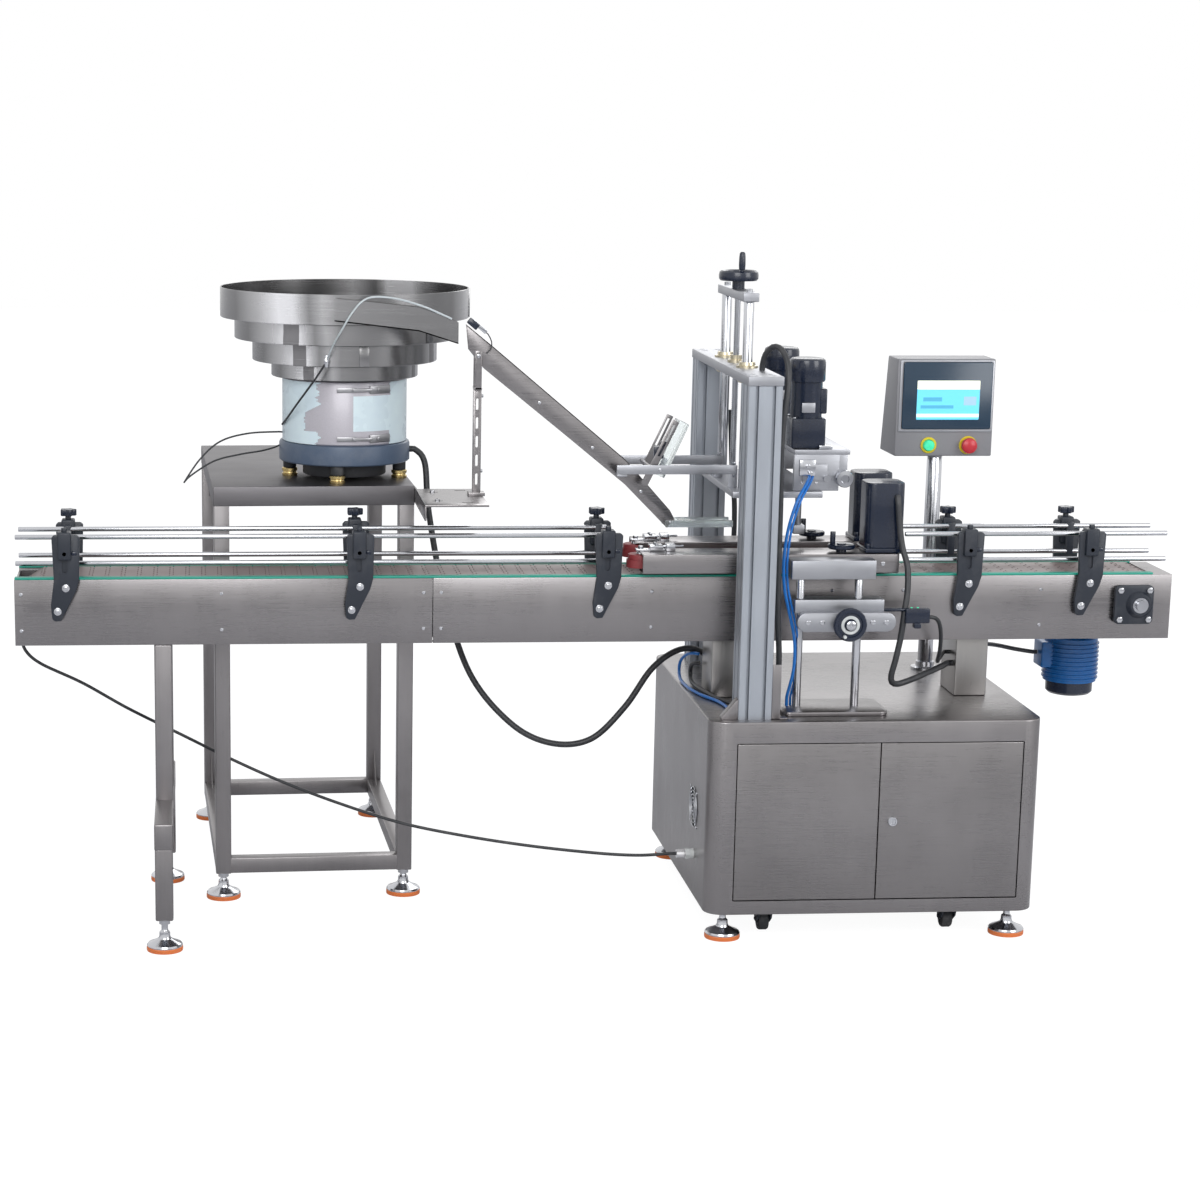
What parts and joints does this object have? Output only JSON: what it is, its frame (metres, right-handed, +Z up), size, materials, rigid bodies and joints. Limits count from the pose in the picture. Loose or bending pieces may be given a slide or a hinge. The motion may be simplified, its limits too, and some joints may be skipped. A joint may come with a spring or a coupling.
{
  "type": "automatic capping machine",
  "caption": "Inline bottle capping machine: slat conveyor, cabinet, lifting capping head on a gantry, side-grip belts, bowl cap feeder with chute, and operator panel.",
  "frame": {"origin": "on the floor, under the middle of the machine's overall length and depth", "axes": "+X along the conveyor towards the outfeed, +Y from the operator's side to the back, +Z up"},
  "size_m": [2.8, 1.336, 1.616],
  "materials": {
    "stainless": "brushed",
    "aluminium": "satin",
    "chrome": "polished",
    "slats": "matt",
    "black_plastic": "satin",
    "rubber": "matt",
    "blue_paint": "gloss paint",
    "drum_film": "satin film",
    "grey_paint": "powder coat",
    "green_button": "gloss",
    "red_button": "gloss"
  },
  "bodies": {
    "machine": {"front_side_panel": "stainless", "rear_side_panel": "stainless", "conveyor_bed": "stainless", "slat_chain": "slats", "drive_bearing": "black_plastic", "gearmotor": "blue_paint", "conveyor_leg": "stainless", "cabinet_shell": "stainless", "cable_gland": "chrome", "left_pedestal": "stainless", "right_pedestal": "stainless", "front_column": "aluminium", "rear_column": "aluminium", "gantry_top_plate": "aluminium", "grip_stand": "aluminium", "feeder_stand": "stainless", "feeder_drum": "drum_film", "chute_stay": "stainless", "panel_post": "stainless", "power_lead": "rubber", "feeder_conduit": "black_plastic"},
    "drive": {"drive_shaft": "chrome"},
    "idler": {"idler_shaft": "chrome"},
    "infeed_front_guide": {"infeed_front_rail": "stainless"},
    "infeed_rear_guide": {"infeed_rear_rail": "stainless"},
    "outfeed_front_guide": {"outfeed_front_rail": "stainless"},
    "outfeed_rear_guide": {"outfeed_rear_rail": "stainless"},
    "left_door": {"left_door": "stainless"},
    "right_door": {"right_door": "stainless"},
    "lock": {"door_lock": "chrome"},
    "fan": {"fan_rotor": "black_plastic"},
    "lift": {"lift_yoke": "chrome", "carriage_plate": "aluminium", "head_bracket": "aluminium", "front_head_motor": "black_plastic", "rear_head_motor": "black_plastic"},
    "lift_screw": {"lift_screw": "chrome"},
    "front_cap_wheel": {"front_cap_wheel": "rubber"},
    "rear_cap_wheel": {"rear_cap_wheel": "rubber"},
    "front_grip": {"front_grip_cover": "stainless", "front_grip_motor": "black_plastic"},
    "rear_grip": {"rear_grip_cover": "stainless", "rear_grip_motor": "black_plastic"},
    "front_pulley": {"front_grip_pulley": "aluminium"},
    "rear_pulley": {"rear_grip_pulley": "aluminium"},
    "grip_handwheel": {"grip_handwheel": "black_plastic"},
    "bowl": {"feeder_bowl": "stainless"},
    "chute": {"chute": "stainless"},
    "panel": {"panel_box": "grey_paint"},
    "start_button": {"start_button": "green_button"},
    "stop_button": {"stop_button": "red_button"},
    "caster_fork_1": {"caster_fork_1": "black_plastic"},
    "caster_wheel_1": {"caster_wheel_1": "rubber"},
    "caster_fork_2": {"caster_fork_2": "black_plastic"},
    "caster_wheel_2": {"caster_wheel_2": "rubber"},
    "caster_fork_3": {"caster_fork_3": "black_plastic"},
    "caster_wheel_3": {"caster_wheel_3": "rubber"},
    "caster_fork_4": {"caster_fork_4": "black_plastic"},
    "caster_wheel_4": {"caster_wheel_4": "rubber"}
  },
  "joints": [
    {"name": "drive_spin", "type": "hinge", "parent": "machine", "child": "drive", "pos_m": [1.317, -0.323, 0.778], "axis": [0, 1, 0], "continuous": true},
    {"name": "idler_spin", "type": "hinge", "parent": "machine", "child": "idler", "pos_m": [-1.317, -0.323, 0.778], "axis": [0, 1, 0], "continuous": true},
    {"name": "infeed_front_slide", "type": "slide", "parent": "machine", "child": "infeed_front_guide", "axis": [0, 1, 0], "range_m": [-0.012, 0.02]},
    {"name": "infeed_rear_slide", "type": "slide", "parent": "machine", "child": "infeed_rear_guide", "axis": [0, 1, 0], "range_m": [-0.02, 0.012]},
    {"name": "outfeed_front_slide", "type": "slide", "parent": "machine", "child": "outfeed_front_guide", "axis": [0, 1, 0], "range_m": [-0.012, 0.02]},
    {"name": "outfeed_rear_slide", "type": "slide", "parent": "machine", "child": "outfeed_rear_guide", "axis": [0, 1, 0], "range_m": [-0.02, 0.012]},
    {"name": "left_door_hinge", "type": "hinge", "parent": "machine", "child": "left_door", "pos_m": [0.298, -0.643, 0.296], "axis": [0, 0, 1], "range_deg": [-110, 0]},
    {"name": "right_door_hinge", "type": "hinge", "parent": "machine", "child": "right_door", "pos_m": [0.985, -0.643, 0.296], "axis": [0, 0, 1], "range_deg": [0, 110]},
    {"name": "lock_turn", "type": "hinge", "parent": "right_door", "child": "lock", "pos_m": [0.6755, -0.643, 0.296], "axis": [0, 1, 0], "range_deg": [-90, 0]},
    {"name": "fan_spin", "type": "hinge", "parent": "machine", "child": "fan", "pos_m": [0.2418, -0.451, 0.289], "axis": [1, 0, 0], "continuous": true},
    {"name": "caster_swivel_1", "type": "hinge", "parent": "machine", "child": "caster_fork_1", "pos_m": [0.39, -0.568, 0.0687], "axis": [0, 0, 1], "continuous": true},
    {"name": "caster_roll_1", "type": "hinge", "parent": "caster_fork_1", "child": "caster_wheel_1", "pos_m": [0.39, -0.546, 0.032], "axis": [1, 0, 0], "continuous": true},
    {"name": "caster_swivel_2", "type": "hinge", "parent": "machine", "child": "caster_fork_2", "pos_m": [0.842, -0.568, 0.0687], "axis": [0, 0, 1], "continuous": true},
    {"name": "caster_roll_2", "type": "hinge", "parent": "caster_fork_2", "child": "caster_wheel_2", "pos_m": [0.842, -0.546, 0.032], "axis": [1, 0, 0], "continuous": true},
    {"name": "caster_swivel_3", "type": "hinge", "parent": "machine", "child": "caster_fork_3", "pos_m": [0.39, 0.082, 0.0687], "axis": [0, 0, 1], "continuous": true},
    {"name": "caster_roll_3", "type": "hinge", "parent": "caster_fork_3", "child": "caster_wheel_3", "pos_m": [0.39, 0.104, 0.032], "axis": [1, 0, 0], "continuous": true},
    {"name": "caster_swivel_4", "type": "hinge", "parent": "machine", "child": "caster_fork_4", "pos_m": [0.842, 0.082, 0.0687], "axis": [0, 0, 1], "continuous": true},
    {"name": "caster_roll_4", "type": "hinge", "parent": "caster_fork_4", "child": "caster_wheel_4", "pos_m": [0.842, 0.104, 0.032], "axis": [1, 0, 0], "continuous": true},
    {"name": "head_lift", "type": "slide", "parent": "machine", "child": "lift", "axis": [0, 0, 1], "range_m": [-0.02, 0.05]},
    {"name": "lift_screw_turn", "type": "hinge", "parent": "lift", "child": "lift_screw", "pos_m": [0.341, -0.242, 1.526], "axis": [0, 0, 1], "range_deg": [-720, 1800]},
    {"name": "front_cap_wheel_spin", "type": "hinge", "parent": "lift", "child": "front_cap_wheel", "pos_m": [0.41, -0.365, 0.935], "axis": [0, 0, 1], "continuous": true},
    {"name": "rear_cap_wheel_spin", "type": "hinge", "parent": "lift", "child": "rear_cap_wheel", "pos_m": [0.41, -0.281, 0.935], "axis": [0, 0, 1], "continuous": true},
    {"name": "front_grip_slide", "type": "slide", "parent": "machine", "child": "front_grip", "axis": [0, 1, 0], "range_m": [0, 0.015]},
    {"name": "rear_grip_slide", "type": "slide", "parent": "machine", "child": "rear_grip", "axis": [0, 1, 0], "range_m": [-0.015, 0]},
    {"name": "front_pulley_spin", "type": "hinge", "parent": "front_grip", "child": "front_pulley", "pos_m": [0.675, -0.403, 0.866], "axis": [0, 0, 1], "continuous": true},
    {"name": "rear_pulley_spin", "type": "hinge", "parent": "rear_grip", "child": "rear_pulley", "pos_m": [0.69, -0.243, 0.866], "axis": [0, 0, 1], "continuous": true},
    {"name": "grip_handwheel_turn", "type": "hinge", "parent": "machine", "child": "grip_handwheel", "pos_m": [0.567, -0.5773, 0.762], "axis": [0, 1, 0], "range_deg": [0, 675.1]},
    {"name": "bowl_twist", "type": "hinge", "parent": "machine", "child": "bowl", "pos_m": [-0.6, -0.013, 1.295], "axis": [0, 0, 1], "range_deg": [-1, 1], "stiffness_Nm_per_rad": 2000},
    {"name": "chute_tilt", "type": "hinge", "parent": "machine", "child": "chute", "pos_m": [-0.298, -0.323, 1.372], "axis": [0, 1, 0], "range_deg": [-7, 3]},
    {"name": "panel_swivel", "type": "hinge", "parent": "machine", "child": "panel", "pos_m": [0.903, -0.023, 1.097], "axis": [0, 0, 1], "range_deg": [-30, 30]},
    {"name": "start_press", "type": "slide", "parent": "panel", "child": "start_button", "axis": [0, 1, 0], "range_m": [0, 0.004], "stiffness_N_per_m": 300},
    {"name": "stop_press", "type": "slide", "parent": "panel", "child": "stop_button", "axis": [0, 1, 0], "range_m": [0, 0.004], "stiffness_N_per_m": 300}
  ],
  "couplings": [
    {"joint": "idler_spin", "follows": "drive_spin", "ratio": 1},
    {"joint": "lift_screw_turn", "follows": "head_lift", "rad_per_m": 628.32},
    {"joint": "rear_cap_wheel_spin", "follows": "front_cap_wheel_spin", "ratio": -1},
    {"joint": "grip_handwheel_turn", "follows": "front_grip_slide", "rad_per_m": 785.4},
    {"joint": "rear_pulley_spin", "follows": "front_pulley_spin", "ratio": -1},
    {"joint": "chute_tilt", "follows": "head_lift", "rad_per_m": -2.23}
  ]
}
